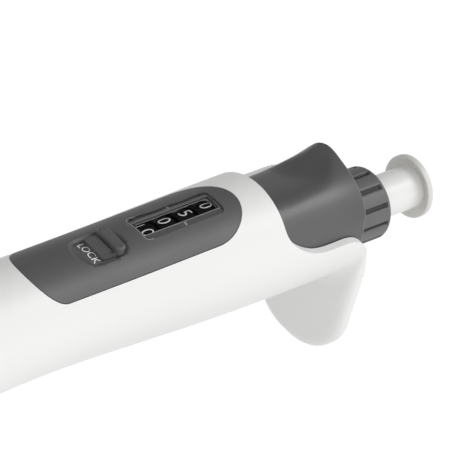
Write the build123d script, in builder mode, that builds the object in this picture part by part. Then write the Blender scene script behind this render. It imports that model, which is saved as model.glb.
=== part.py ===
"""Adjustable air-displacement pipette, 1 to 10 mL, drawn at its 5.00 mL setting.

Millimetres.  The instrument stands upright: +Z runs up its plunger axis (x = y = 0),
the number window faces -Y and the finger hook points to +Y.  z = 0 is the end of the
nozzle, where a disposable tip is pushed on.
"""
import math
import os
from build123d import *

os.makedirs("parts", exist_ok=True)

# ---- driving sizes: the outside ------------------------------------------------------
ring_top = 275.0          # top face of the volume ring above the nozzle end
grip_radius = 16.0        # hand grip, half its width at the window
grip_shift = 4.2          # the grip is set forward of the plunger axis by this much
waist_trim = 1.1          # how much slimmer the grip is at the fingers
grip_wall = 1.9           # moulded wall
grip_bottom_radius = 15.8
grip_bottom = ring_top - 154.0
shell_front_edge = ring_top - 41.0
hook_top = ring_top - 11.0
hook_reach = 36.6         # hook end behind the plunger axis
hook_half_width = 15.2
hook_thickness = 5.6
hook_root = 5.0           # fillet where the hook leaves the grip

# ---- driving sizes: plunger and volume ring -------------------------------------------
plunger_gap = 13.1        # underside of the button flange above the ring
flange_radius = 8.0
flange_thickness = 1.9
stem_radius = 5.4
ring_radius = 9.25
ring_height = 13.5
rib_count = 12
flute_depth = 0.5
blow_out = 2.2            # extra press after the measured stroke
stroke_now = 10.0         # measured stroke at the 5.00 mL setting
screw_down = 8.0          # screw travel from 5.00 mL down to 1.00 mL
screw_up = 10.0           # screw travel from 5.00 mL up to 10.00 mL
screw_pitch = 1.0

# ---- driving sizes: number window and counter ------------------------------------------
bezel_half_width = 10.1
bezel_top = ring_top - 49.0
bezel_bottom = ring_top - 115.2
bezel_depth = 1.0
bezel_proud = 0.12
window_width = 7.8
window_length = 25.0
window_centre = ring_top - 67.0
band_width = 3.9          # dark strip of the drums that shows between the side strips
lens_thickness = 0.45
mask_thickness = 0.35
wheel_radius = 5.5
wheel_pitch = 6.1         # spacing of the drums along the shaft
wheel_axis = 13.3         # drum shaft in front of the plunger axis
gear_module = 0.6
gear_width = 2.2
drive_teeth = 30
idler_teeth = 8
pinion_teeth = 6

# ---- driving sizes: tip ejector and lock -------------------------------------------------
eject_travel = 8.0
ejector_radius = 13.7
ejector_rim_radius = 14.4 # rim of the hood at its flanks
lip_reach = 16.3          # front lip of the thumb scoop, from the hood's own axis
lip_half_width = 9.0
scoop_turn = 22.0         # the thumb scoop is turned this many degrees towards -X
ejector_top = ring_top - 14.2
scoop_face = 10.9         # floor of the thumb scoop from the hood's own axis
rod_radius = 1.0
rod_x = 11.0
rod_y = -1.2
lock_travel = 2.4
lock_bar_level = ring_top - 88.0
recess_width = 9.6
recess_length = 14.6
recess_floor = 0.7        # depth of the recess; the bezel is left standing below it
arm_x = -3.2
arm_width = 1.8
arm_height = 1.6

# ---- driving sizes: lower half --------------------------------------------------------------
bore_radius = 12.65       # 500 mm2 with its seal: 0.5 mL for each turn of the screw
barrel_radius = 13.7
plate_drop = 3.2          # top of the ejector sleeve below the grip
plate_thickness = 2.6
barrel_chamfer = 1.2
barrel_bottom = 39.0
neck_radius = 9.4
nozzle_radius = 7.5
nozzle_length = 30.0
rod_main_radius = 2.5

# ---- clearances --------------------------------------------------------------------------------
run_fit = 0.05            # pieces that turn or slide on one another
part_gap = 0.3            # pieces that pass each other
seat_gap = 0.02           # moulded pieces pushed together

# ---- sizes that follow -----------------------------------------------------------------------
grip_inner = grip_radius - grip_wall
sleeve_outer = wheel_axis - wheel_radius - 1.2
sleeve_inner = stem_radius + 0.35
screw_radius = sleeve_inner - 0.25
press_travel = stroke_now + blow_out
barrel_shoulder = grip_bottom - plate_drop - plate_thickness - eject_travel - barrel_chamfer - part_gap
free_path = screw_down + press_travel + 0.3
window_top = window_centre + window_length / 2
window_bottom = window_centre - window_length / 2
cavity_top = window_top + 0.9
collar_bottom = ring_top - 133.0
washer_level = collar_bottom - free_path
gear_level = window_bottom - 5.6
floor_level = barrel_bottom + 4.0
piston_bottom = floor_level + free_path + 0.3
arm_level = lock_bar_level + 0.4
drive_pitch = drive_teeth * gear_module / 2
drive_tip = drive_pitch


def grip_solid(grow):
    """The hand grip as a solid, with its skin moved outward by grow."""
    waist = grip_radius - waist_trim + grow
    with BuildPart() as body:
        with BuildSketch(Plane.XY.offset(grip_bottom)):
            Circle(grip_bottom_radius + grow)
        with BuildSketch(Plane.XY.offset(grip_bottom + 26)):
            with Locations((0, -grip_shift - 0.3)):
                Circle(waist + 0.1)
        with BuildSketch(Plane.XY.offset(bezel_bottom + 18)):
            with Locations((0, -grip_shift - 0.7)):
                Circle(waist)
        with BuildSketch(Plane.XY.offset(window_centre)):
            with Locations((0, -grip_shift - 0.1)):
                Circle(grip_radius - 0.35 + grow)
        with BuildSketch(Plane.XY.offset(shell_front_edge)):
            with Locations((0, -grip_shift)):
                Circle(grip_radius + grow)
        with BuildSketch(Plane.XY.offset(hook_top)):
            with Locations((0, -grip_shift)):
                Circle(grip_radius + grow)
        loft()
    return body.part


def bezel_block(trim):
    """The outline of the display bezel, pushed through the front of the grip."""
    half = bezel_half_width - trim
    with BuildPart() as block:
        with BuildSketch(Plane.XZ.offset(6)):
            with Locations((0, (bezel_top - 12 + bezel_bottom + 7.6) / 2)):
                Rectangle(2 * half, bezel_top - 12 - bezel_bottom - 7.6)
            with Locations((0, bezel_top - 12)):
                Ellipse(half, 12 - trim)
            with Locations((0, bezel_bottom + 7.6)):
                Ellipse(half, 7.6 - trim)
        extrude(amount=20)
    return block.part


def window_block(trim):
    """A box through the front of the grip, the window opening less trim all round."""
    with BuildPart() as block:
        with BuildSketch(Plane.XZ.offset(6)):
            with Locations((0, window_centre)):
                RectangleRounded(window_width - 2 * trim, window_length - 2 * trim, 1.6)
        extrude(amount=20)
    return block.part


def spring_part(mean_radius, wire, low, high, turns):
    """A compression spring standing on +Z between two seats."""
    reach = high - low - wire
    with BuildPart() as coil:
        with BuildLine():
            rise = Helix(reach / turns, reach, mean_radius, center=(0, 0, low + wire / 2))
        with BuildSketch(Plane(origin=rise @ 0, z_dir=rise % 0)):
            Circle(wire / 2)
        sweep(is_frenet=True)
    return coil.part


def tooth_points(teeth, module, tip, root):
    """Corner points of a plain spur gear with straight-sided teeth."""
    points = []
    for index in range(teeth):
        start = 2 * math.pi * index / teeth
        step = 2 * math.pi / teeth
        for radius, share in ((root, -0.30), (tip, -0.14), (tip, 0.14), (root, 0.30)):
            angle = start + share * step
            points.append((radius * math.cos(angle), radius * math.sin(angle)))
    return points


# Hand grip ---------------------------------------------------------------------------------
# The hook is shaped on its own, so that its rim is rounded before it joins the grip.
with BuildPart() as hook:
    with BuildSketch(Plane.XY.offset(hook_top - hook_thickness)):
        with BuildLine():
            Polyline(
                (-grip_radius + 0.3, -2.0),
                (-hook_half_width, hook_reach),
                (hook_half_width, hook_reach),
                (grip_radius - 0.3, -2.0),
                close=True,
            )
        shape = make_face()
        fillet(shape.vertices().sort_by(Axis.Y)[-2:], radius=hook_half_width - 1.2)
    extrude(amount=hook_thickness)
    rim = hook.edges().filter_by(Axis.Z, reverse=True).filter_by_position(Axis.Y, -1.5, hook_reach + 1)
    fillet(rim.group_by(Axis.Z)[0], radius=hook_thickness * 0.5)
    top_rim = hook.edges().group_by(Axis.Z)[-1].filter_by_position(Axis.Y, -1.5, hook_reach + 1)
    fillet(top_rim, radius=hook_thickness * 0.3)

with BuildPart() as handle_shell:
    add(grip_solid(0))
    add(hook.part)
    under = hook_top - hook_thickness
    root = handle_shell.edges().filter_by_position(Axis.Z, under - 0.2, under + 0.2)
    root = root.filter_by_position(Axis.Y, 2.0, grip_radius - grip_shift + 1)
    fillet(root, radius=hook_root)
    add(grip_solid(-grip_wall), mode=Mode.SUBTRACT)
    # The front of the rim is low, for the ejector; the sides sweep up to the hook.
    with BuildSketch(Plane.YZ):
        with BuildLine():
            Polyline((-30, hook_top + 30), (-30, shell_front_edge), (-15.6, shell_front_edge))
            Spline(
                (-15.6, shell_front_edge),
                (-12.4, shell_front_edge + 1.2),
                (-9.4, shell_front_edge + 5.0),
                (-7.4, shell_front_edge + 10.0),
                (-7.0, shell_front_edge + 17.0),
                (-6.4, hook_top - 7.6),
                (-3.4, hook_top - 3.9),
                (2.0, hook_top - 2.1),
                (8.0, hook_top - 0.9),
                (13.0, hook_top + 0.6),
                tangents=((1, 0), (1, 0.4)),
            )
            Polyline((13.0, hook_top + 0.6), (13.0, hook_top + 30), (-30, hook_top + 30))
        make_face()
    extrude(amount=40, both=True, mode=Mode.SUBTRACT)
    add(bezel_block(0) - grip_solid(-bezel_depth - seat_gap), mode=Mode.SUBTRACT)
    add(window_block(0), mode=Mode.SUBTRACT)
    # Slot for the lock's arm.
    with BuildSketch(Plane.XZ.offset(8)):
        with Locations((arm_x, arm_level - lock_travel / 2)):
            Rectangle(arm_width + 0.6, arm_height + lock_travel + 0.6)
    extrude(amount=14, mode=Mode.SUBTRACT)
    # Relief inside the back wall for the drive gear.
    with Locations((0, 0, gear_level - 0.5)):
        Cylinder(drive_pitch + part_gap, gear_width + 1.0,
                 align=(Align.CENTER, Align.CENTER, Align.MIN), mode=Mode.SUBTRACT)
handle_shell.part.label = "handle_shell"
export_step(handle_shell.part, "parts/handle_shell.step")

# Display bezel: a curved plate let into the grip, with the window and the lock's recess.
with BuildPart() as display_bezel:
    add(grip_solid(bezel_proud))
    add(bezel_block(part_gap / 2), mode=Mode.INTERSECT)
    add(grip_solid(-bezel_depth), mode=Mode.SUBTRACT)
    add(window_block(0), mode=Mode.SUBTRACT)
    with BuildSketch(Plane.XZ.offset(8)):
        with Locations((0, lock_bar_level - 3.8)):
            RectangleRounded(recess_width, recess_length, recess_width / 2 - 0.1)
    extrude(amount=20, mode=Mode.SUBTRACT)
    with BuildPart(mode=Mode.PRIVATE) as recess_plate:
        with BuildSketch(Plane.XZ.offset(8)):
            with Locations((0, lock_bar_level - 3.8)):
                RectangleRounded(recess_width, recess_length, recess_width / 2 - 0.1)
            with Locations((arm_x, arm_level - lock_travel / 2)):
                Rectangle(arm_width + 0.6, arm_height + lock_travel + 0.6, mode=Mode.SUBTRACT)
        extrude(amount=20)
        add(grip_solid(-recess_floor), mode=Mode.INTERSECT)
        add(grip_solid(-bezel_depth), mode=Mode.SUBTRACT)
    add(recess_plate.part)
display_bezel.part.label = "display_bezel"
export_step(display_bezel.part, "parts/display_bezel.step")

drum_front = -wheel_axis - wheel_radius
with BuildPart() as window_lens:
    add(grip_solid(-0.03))
    add(window_block(part_gap / 2), mode=Mode.INTERSECT)
    add(grip_solid(-lens_thickness), mode=Mode.SUBTRACT)
window_lens.part.label = "window_lens"
export_step(window_lens.part, "parts/window_lens.step")

# Side strips behind the lens: one curved plate with a slot that shows the drums.
mask_skin = lens_thickness + run_fit
with BuildPart() as window_mask:
    add(grip_solid(-mask_skin))
    add(window_block(seat_gap), mode=Mode.INTERSECT)
    add(grip_solid(-mask_skin - mask_thickness), mode=Mode.SUBTRACT)
    with BuildSketch(Plane.XZ.offset(8)):
        with Locations((0, window_centre)):
            Rectangle(band_width, window_length - 1.6)
    extrude(amount=20, mode=Mode.SUBTRACT)
window_mask.part.label = "window_mask"
export_step(window_mask.part, "parts/window_mask.step")

# Lock slider: a thumb pad with a raised bar, and an arm reaching in beside the drive gear.
pad_face = grip_shift + grip_radius
with BuildPart() as lock_slider:
    with BuildSketch(Plane.XZ.offset(pad_face - 2.6)):
        with Locations((0, lock_bar_level - 4.0)):
            RectangleRounded(5.8, 3.6, 0.4)
    extrude(amount=2.5)
    with BuildSketch(Plane.XZ.offset(pad_face - 2.6)):
        with Locations((0, lock_bar_level - 2.0)):
            RectangleRounded(8.0, 7.0, 0.8)
    extrude(amount=2.0)
    with BuildSketch(Plane.XZ.offset(pad_face - 2.6)):
        with Locations((0, lock_bar_level)):
            RectangleRounded(8.8, 3.0, 1.3)
    extrude(amount=3.7)
    fillet(lock_slider.faces().sort_by(Axis.Y)[0].edges(), radius=0.6)
    add(grip_solid(-recess_floor + run_fit), mode=Mode.SUBTRACT)
    with BuildSketch(Plane.XZ.offset(drive_tip + 0.4)):
        with Locations((arm_x, arm_level)):
            Rectangle(arm_width, arm_height)
    extrude(amount=pad_face - 0.9 - drive_tip - 0.4)
    with BuildSketch(Plane.XZ.offset(drive_tip + 0.4)):
        with Locations((arm_x, (arm_level + gear_level + 1.4) / 2)):
            Rectangle(arm_width, gear_level + 1.4 - arm_level + arm_height)
    extrude(amount=1.6)
lock_slider.part.label = "lock_slider"
export_step(lock_slider.part, "parts/lock_slider.step")

# Number counter: four drums on one shaft, held in a small frame behind the window ------------
wheel_names = ("tens", "units", "tenths", "hundredths")
wheel_width = wheel_pitch - 0.9
first_wheel = window_centre + 1.5 * wheel_pitch
wheel_centres = [first_wheel - index * wheel_pitch for index in range(len(wheel_names))]
stack_top = wheel_centres[0] + wheel_width / 2
stack_bottom = wheel_centres[-1] - wheel_width / 2
pinion_pitch = 4.6        # carry pinions sit this far behind the drum shaft, to one side
carry_x = -6.9
carry_y = -wheel_axis + 1.2
for index, name in enumerate(wheel_names):
    level = wheel_centres[index]
    with BuildPart() as wheel:
        with BuildSketch(Plane.XY.offset(level - wheel_width / 2)):
            with Locations((0, -wheel_axis)):
                Circle(wheel_radius)
                Circle(0.8 + run_fit, mode=Mode.SUBTRACT)
        extrude(amount=wheel_width)
        # The rim is left standing; the web inside it is thin.
        for start in (level - wheel_width / 2, level + 0.6):
            with BuildSketch(Plane.XY.offset(start)):
                with Locations((0, -wheel_axis)):
                    Circle(wheel_radius - 1.0)
                    Circle(1.7, mode=Mode.SUBTRACT)
            extrude(amount=wheel_width / 2 - 0.6, mode=Mode.SUBTRACT)
        # Carry notches on the upper edge of the rim.
        with BuildSketch(Plane.XY.offset(level + wheel_width / 2 - 0.4)):
            with Locations((0, -wheel_axis)):
                with PolarLocations(wheel_radius - 0.5, 10, start_angle=18):
                    Rectangle(1.2, 0.7)
        extrude(amount=0.4, mode=Mode.SUBTRACT)
    wheel.part.label = "number_wheel_" + name
    export_step(wheel.part, "parts/number_wheel_" + name + ".step")

with BuildPart() as wheel_shaft:
    with Locations((0, -wheel_axis, gear_level - 1.5)):
        Cylinder(0.8, stack_top + 2.2 - gear_level + 1.5, align=(Align.CENTER, Align.CENTER, Align.MIN))
wheel_shaft.part.label = "wheel_shaft"
export_step(wheel_shaft.part, "parts/wheel_shaft.step")

with BuildPart() as carry_shaft:
    with Locations((carry_x, carry_y, stack_bottom - 1.9)):
        Cylinder(0.5, stack_top - stack_bottom + 3.8, align=(Align.CENTER, Align.CENTER, Align.MIN))
carry_shaft.part.label = "carry_shaft"
export_step(carry_shaft.part, "parts/carry_shaft.step")

# A carry pinion between each pair of drums.
carry_tip = math.hypot(carry_x, carry_y + wheel_axis) - wheel_radius - 0.12
for index in range(len(wheel_names) - 1):
    level = (wheel_centres[index] + wheel_centres[index + 1]) / 2
    with BuildPart() as carry_pinion:
        with BuildSketch(Plane.XY.offset(level - 1.6)):
            with Locations((carry_x, carry_y)):
                Circle(carry_tip - 0.35)
                with PolarLocations(carry_tip - 0.3, 8):
                    Rectangle(0.6, 0.34)
                Circle(0.5 + run_fit, mode=Mode.SUBTRACT)
        extrude(amount=3.2)
    carry_pinion.part.label = "carry_pinion_" + wheel_names[index + 1]
    export_step(carry_pinion.part, "parts/carry_pinion_" + wheel_names[index + 1] + ".step")

rail_x = window_width / 2 + 0.5
with BuildPart() as counter_frame:
    for level in (stack_top + 0.4, stack_bottom - 1.6):
        with BuildSketch(Plane.XY.offset(level)):
            with Locations((0, -wheel_axis)):
                Circle(wheel_radius - 0.3)
                Rectangle(26, 3.4)
            with Locations((carry_x, carry_y)):
                Circle(1.5)
            for side in (-1, 1):
                with Locations((side * rail_x, -wheel_axis - 3.5)):
                    Rectangle(0.7, 3.0)
        extrude(amount=1.2)
    # Rails either side of the drums tie the two plates together.
    for side in (-1, 1):
        with BuildSketch(Plane.XY.offset(stack_bottom - 1.6)):
            with Locations((side * rail_x, -wheel_axis - 4.4)):
                Rectangle(0.7, 1.0)
        extrude(amount=stack_top - stack_bottom + 3.2)
    add(grip_solid(-grip_wall - seat_gap), mode=Mode.INTERSECT)
    with Locations((0, -wheel_axis, stack_bottom - 1.6)):
        Cylinder(0.8 + seat_gap, 1.2, align=(Align.CENTER, Align.CENTER, Align.MIN), mode=Mode.SUBTRACT)
        Cylinder(1.75, 1.2, align=(Align.CENTER, Align.CENTER, Align.MIN), mode=Mode.SUBTRACT)
    with Locations((0, -wheel_axis, stack_top + 0.4)):
        Cylinder(0.8 + seat_gap, 1.2, align=(Align.CENTER, Align.CENTER, Align.MIN), mode=Mode.SUBTRACT)
    for level in (stack_top + 0.4, stack_bottom - 1.6):
        with Locations((carry_x, carry_y, level)):
            Cylinder(0.5 + seat_gap, 1.2, align=(Align.CENTER, Align.CENTER, Align.MIN), mode=Mode.SUBTRACT)
counter_frame.part.label = "counter_frame"
export_step(counter_frame.part, "parts/counter_frame.step")

# Gear train from the volume ring to the lowest drum -----------------------------------------
idler_pitch = idler_teeth * gear_module / 2
pinion_radius = pinion_teeth * gear_module / 2
mesh_slack = 0.06
far = drive_pitch + idler_pitch
near = pinion_radius + idler_pitch
idler_y = -(far ** 2 - near ** 2 + wheel_axis ** 2) / (2 * wheel_axis)
idler_x = math.sqrt(far ** 2 - idler_y ** 2)

with BuildPart() as drive_gear:
    with BuildSketch(Plane.XY.offset(gear_level)):
        Polygon(*tooth_points(drive_teeth, gear_module, drive_pitch - mesh_slack, drive_pitch - 0.7), align=None)
        Circle(sleeve_outer + seat_gap, mode=Mode.SUBTRACT)
    extrude(amount=gear_width)
drive_gear.part.label = "drive_gear"
export_step(drive_gear.part, "parts/drive_gear.step")

with BuildPart() as idler_gear:
    with BuildSketch(Plane.XY.offset(gear_level)):
        with Locations((idler_x, idler_y)):
            Polygon(*tooth_points(idler_teeth, gear_module, idler_pitch - mesh_slack, idler_pitch - 0.6), align=None)
            Circle(0.8 + run_fit, mode=Mode.SUBTRACT)
    extrude(amount=gear_width)
idler_gear.part.label = "idler_gear"
export_step(idler_gear.part, "parts/idler_gear.step")

with BuildPart() as wheel_pinion:
    with BuildSketch(Plane.XY.offset(gear_level)):
        with Locations((0, -wheel_axis)):
            Polygon(*tooth_points(pinion_teeth, gear_module, pinion_radius - mesh_slack, pinion_radius - 0.5), align=None)
    extrude(amount=gear_width)
    with Locations((0, -wheel_axis, gear_level)):
        Cylinder(1.4, stack_bottom - gear_level, align=(Align.CENTER, Align.CENTER, Align.MIN))
        Cylinder(0.8 + run_fit, 40, mode=Mode.SUBTRACT)
wheel_pinion.part.label = "wheel_pinion"
export_step(wheel_pinion.part, "parts/wheel_pinion.step")

# Bulkheads across the grip -------------------------------------------------------------------
upper_level = ring_top - 64.0
lower_level = gear_level - 4.4
with BuildPart() as upper_bulkhead:
    with BuildSketch(Plane.XY.offset(upper_level)):
        Rectangle(40, 40)
    extrude(amount=2.4)
    add(grip_solid(-grip_wall - seat_gap), mode=Mode.INTERSECT)
    # Room in front for the counter.
    with Locations((0, -wheel_axis - 4.2, upper_level)):
        Box(40, 20, 6, mode=Mode.SUBTRACT)
    with Locations((0, 0, upper_level)):
        Cylinder(sleeve_outer + run_fit, 6, mode=Mode.SUBTRACT)
    with Locations((rod_x, rod_y, upper_level)):
        Cylinder(rod_radius + run_fit, 6, mode=Mode.SUBTRACT)
upper_bulkhead.part.label = "upper_bulkhead"
export_step(upper_bulkhead.part, "parts/upper_bulkhead.step")

with BuildPart() as lower_bulkhead:
    with BuildSketch(Plane.XY.offset(lower_level)):
        Rectangle(40, 40)
    extrude(amount=2.4)
    add(grip_solid(-grip_wall - seat_gap), mode=Mode.INTERSECT)
    with Locations((0, 0, lower_level)):
        Cylinder(sleeve_outer + run_fit, 6, mode=Mode.SUBTRACT)
    with Locations((rod_x, rod_y, lower_level)):
        Cylinder(rod_radius + 0.25, 6, mode=Mode.SUBTRACT)
    # Window for the lock's arm.
    with Locations((arm_x, -14.5, lower_level)):
        Box(arm_width + 0.8, 11.4, 6, mode=Mode.SUBTRACT)
    # Posts for the idler gear and for the foot of the drum shaft.
    with Locations((idler_x, idler_y, lower_level + 2.4)):
        Cylinder(0.8, gear_level + gear_width - lower_level - 2.4, align=(Align.CENTER, Align.CENTER, Align.MIN))
        Cylinder(1.5, gear_level - 0.25 - lower_level - 2.4, align=(Align.CENTER, Align.CENTER, Align.MIN))
    with Locations((0, -wheel_axis, lower_level + 2.4)):
        Cylinder(1.5, gear_level - 0.25 - lower_level - 2.4, align=(Align.CENTER, Align.CENTER, Align.MIN))
        Cylinder(0.8 + seat_gap, 30, mode=Mode.SUBTRACT)
lower_bulkhead.part.label = "lower_bulkhead"
export_step(lower_bulkhead.part, "parts/lower_bulkhead.step")

# Volume ring: a ribbed cup with a splined sleeve below it --------------------------------------
well_radius = flange_radius + 0.25
well_depth = screw_down + press_travel - plunger_gap + 1.0
with BuildPart() as volume_ring:
    with BuildSketch(Plane.XY.offset(ring_top - ring_height)):
        Circle(ring_radius)
    extrude(amount=ring_height)
    fillet(volume_ring.faces().sort_by(Axis.Z)[-1].edges(), radius=0.9)
    with BuildSketch(Plane.XY.offset(ring_top - ring_height)):
        with PolarLocations(ring_radius, rib_count, start_angle=15):
            RectangleRounded(2 * flute_depth, 1.1, 0.4)
    extrude(amount=ring_height - 2.0, mode=Mode.SUBTRACT)
    with Locations((0, 0, ring_top)):
        Cylinder(well_radius, well_depth, align=(Align.CENTER, Align.CENTER, Align.MAX), mode=Mode.SUBTRACT)
        Cylinder(sleeve_outer + seat_gap, 60, mode=Mode.SUBTRACT)
volume_ring.part.label = "volume_ring"
export_step(volume_ring.part, "parts/volume_ring.step")

spline_width = 1.2
sleeve_top = ring_top - well_depth - 0.4
thread_top = lower_level - 2.5
key_bottom = thread_top + 2 + screw_up + part_gap
with BuildPart() as drive_sleeve:
    with BuildSketch(Plane.XY.offset(lower_level - 1.2)):
        Circle(sleeve_outer)
        Circle(sleeve_inner, mode=Mode.SUBTRACT)
    extrude(amount=sleeve_top - lower_level + 1.2)
    # Two keys that drive the screw: above its thread at the highest setting, below the stem.
    with BuildSketch(Plane.XY.offset(key_bottom)):
        for side in (-1, 1):
            with Locations((side * (sleeve_inner - 0.3), 0)):
                Rectangle(1.0, spline_width)
        Circle(sleeve_outer, mode=Mode.INTERSECT)
    extrude(amount=window_top - 7.2 - key_bottom)
drive_sleeve.part.label = "drive_sleeve"
export_step(drive_sleeve.part, "parts/drive_sleeve.step")

# Volume screw, its nut, and the stop washer under it --------------------------------------------
screw_top = ring_top - 34.0
screw_foot = collar_bottom + 8.5
nut_level = thread_top - screw_down - 10.5
nut_height = 9.0
with BuildPart() as lead_screw:
    with BuildSketch(Plane.XZ):
        with BuildLine():
            crest = screw_radius
            root = screw_radius - 0.45
            turns = int((thread_top - screw_foot - 1.0) / screw_pitch)
            outline = [(rod_main_radius + 0.35, screw_foot), (root, screw_foot)]
            for turn in range(turns):
                base = screw_foot + 0.5 + turn * screw_pitch
                outline.append((root, base))
                outline.append((crest, base + 0.42 * screw_pitch))
                outline.append((crest, base + 0.58 * screw_pitch))
            outline.append((root, screw_foot + 0.5 + turns * screw_pitch))
            outline.append((crest, thread_top + 1.0))
            outline.append((crest, screw_top))
            outline.append((rod_main_radius + 0.35, screw_top))
            Polyline(*outline, close=True)
        make_face()
    revolve(axis=Axis.Z)
    with BuildSketch(Plane.XY.offset(thread_top + 2)):
        for side in (-1, 1):
            with Locations((side * screw_radius, 0)):
                Rectangle(2 * 1.0, spline_width + 2 * run_fit)
    extrude(amount=screw_top - thread_top, mode=Mode.SUBTRACT)
lead_screw.part.label = "lead_screw"
export_step(lead_screw.part, "parts/lead_screw.step")

with BuildPart() as screw_nut:
    with BuildSketch(Plane.XZ):
        with BuildLine():
            bore = screw_radius + run_fit
            groove = bore + 0.35
            outline = [(10.0, nut_level), (bore, nut_level)]
            for turn in range(int(nut_height / screw_pitch) - 1):
                base = nut_level + 0.5 + turn * screw_pitch
                outline.append((bore, base))
                outline.append((groove, base + 0.5 * screw_pitch))
            outline.append((bore, nut_level + nut_height - 0.5))
            outline.append((bore, nut_level + nut_height))
            outline.append((10.0, nut_level + nut_height))
            Polyline(*outline, close=True)
        make_face()
    revolve(axis=Axis.Z)
    # A plate at the foot of the nut carries it in the grip.
    with BuildSketch(Plane.XY.offset(nut_level)):
        Rectangle(40, 40)
        Circle(9.5, mode=Mode.SUBTRACT)
    extrude(amount=2.4)
    add(grip_solid(-grip_wall - seat_gap), mode=Mode.INTERSECT)
    with Locations((rod_x, rod_y, nut_level)):
        Cylinder(rod_radius + 0.25, 40, mode=Mode.SUBTRACT)
screw_nut.part.label = "screw_nut"
export_step(screw_nut.part, "parts/screw_nut.step")

with BuildPart() as stop_washer:
    with BuildSketch(Plane.XY.offset(collar_bottom + 4.6)):
        Circle(7.4)
        with PolarLocations(7.4, 2):
            Rectangle(3.0, 3.0)
        Circle(rod_main_radius + 0.35, mode=Mode.SUBTRACT)
    extrude(amount=screw_foot - collar_bottom - 4.6 - 0.1)
stop_washer.part.label = "stop_washer"
export_step(stop_washer.part, "parts/stop_washer.step")

# Plunger -----------------------------------------------------------------------------------------
flange_low = ring_top + plunger_gap
stem_foot = ring_top - 19.0
with BuildPart() as push_button:
    with BuildSketch(Plane.XZ):
        with BuildLine():
            flange_up = flange_low + flange_thickness
            Polyline(
                (0, stem_foot),
                (stem_radius, stem_foot),
                (stem_radius, flange_low - 1.6),
                (stem_radius + 0.25, flange_low - 0.7),
                (stem_radius + 1.1, flange_low),
                (flange_radius, flange_low),
                (flange_radius, flange_up - 0.4),
            )
            Spline(
                (flange_radius, flange_up - 0.4),
                (flange_radius * 0.55, flange_up - 0.15),
                (0, flange_up - 0.5),
                tangents=((-1, 0.5), (-1, 0)),
            )
            Line((0, flange_up - 0.5), (0, stem_foot))
        make_face()
    revolve(axis=Axis.Z)
    fillet(push_button.edges().filter_by(GeomType.CIRCLE).group_by(SortBy.RADIUS)[-1], radius=0.3)
    with Locations((0, 0, stem_foot)):
        Cylinder(rod_main_radius + seat_gap, 24, align=(Align.CENTER, Align.CENTER, Align.MIN), mode=Mode.SUBTRACT)
push_button.part.label = "push_button"
export_step(push_button.part, "parts/push_button.step")

piston_height = 7.0
with BuildPart() as push_rod:
    with Locations((0, 0, piston_bottom + 1.5)):
        Cylinder(rod_main_radius, stem_foot + 23.6 - piston_bottom - 1.5,
                 align=(Align.CENTER, Align.CENTER, Align.MIN))
push_rod.part.label = "push_rod"
export_step(push_rod.part, "parts/push_rod.step")

with BuildPart() as rod_collar:
    with Locations((0, 0, collar_bottom)):
        Cylinder(6.6, 4.4, align=(Align.CENTER, Align.CENTER, Align.MIN))
        Cylinder(rod_main_radius + seat_gap, 20, mode=Mode.SUBTRACT)
    chamfer(rod_collar.edges().filter_by(GeomType.CIRCLE).group_by(SortBy.RADIUS)[-1], length=0.5)
rod_collar.part.label = "rod_collar"
export_step(rod_collar.part, "parts/rod_collar.step")

with BuildPart() as piston:
    with Locations((0, 0, piston_bottom)):
        Cylinder(bore_radius - 0.35, piston_height, align=(Align.CENTER, Align.CENTER, Align.MIN))
    chamfer(piston.edges().filter_by(GeomType.CIRCLE).group_by(SortBy.RADIUS)[-1], length=0.5)
    with BuildSketch(Plane.XY.offset(piston_bottom + 2.2)):
        Circle(bore_radius)
        Circle(bore_radius - 1.75, mode=Mode.SUBTRACT)
    extrude(amount=2.6, mode=Mode.SUBTRACT)
    with Locations((0, 0, piston_bottom + 1.48)):
        Cylinder(rod_main_radius + seat_gap, 20, align=(Align.CENTER, Align.CENTER, Align.MIN), mode=Mode.SUBTRACT)
piston.part.label = "piston"
export_step(piston.part, "parts/piston.step")

with BuildPart() as piston_seal:
    with BuildSketch(Plane.XY.offset(piston_bottom + 2.25)):
        Circle(bore_radius - run_fit)
        Circle(bore_radius - 1.7, mode=Mode.SUBTRACT)
    extrude(amount=2.5)
    fillet(piston_seal.edges().filter_by(GeomType.CIRCLE).group_by(SortBy.RADIUS)[-1], radius=0.7)
piston_seal.part.label = "piston_seal"
export_step(piston_seal.part, "parts/piston_seal.step")

# Barrel, springs and nozzle -----------------------------------------------------------------------
seat_level = washer_level - 1.6 - 22.0
neck_bore = 8.1
socket_level = grip_bottom + 3.0
neck_top = grip_bottom + 9.0
with BuildPart() as barrel:
    with BuildSketch(Plane.XZ):
        with BuildLine():
            Polyline(
                (neck_bore, neck_top),
                (neck_radius, neck_top),
                (neck_radius, barrel_shoulder + barrel_chamfer),
                (neck_radius + barrel_chamfer, barrel_shoulder),
                (barrel_radius - 0.6, barrel_shoulder),
                (barrel_radius, barrel_shoulder - 0.6),
                (barrel_radius, barrel_bottom),
                (bore_radius, barrel_bottom),
                (bore_radius, seat_level - 3.0),
                (rod_main_radius + 0.3, seat_level - 3.0),
                (rod_main_radius + 0.3, seat_level),
                (neck_bore, seat_level),
                close=True,
            )
        make_face()
    revolve(axis=Axis.Z)
barrel.part.label = "barrel"
export_step(barrel.part, "parts/barrel.step")

with BuildPart() as barrel_socket:
    with BuildSketch(Plane.XY.offset(socket_level)):
        Circle(grip_bottom_radius + 4)
        Circle(neck_radius + seat_gap, mode=Mode.SUBTRACT)
    extrude(amount=4.0)
    add(grip_solid(-grip_wall - seat_gap), mode=Mode.INTERSECT)
    with Locations((rod_x, rod_y, socket_level)):
        Cylinder(rod_radius + 0.25, 20, mode=Mode.SUBTRACT)
barrel_socket.part.label = "barrel_socket"
export_step(barrel_socket.part, "parts/barrel_socket.step")

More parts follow.
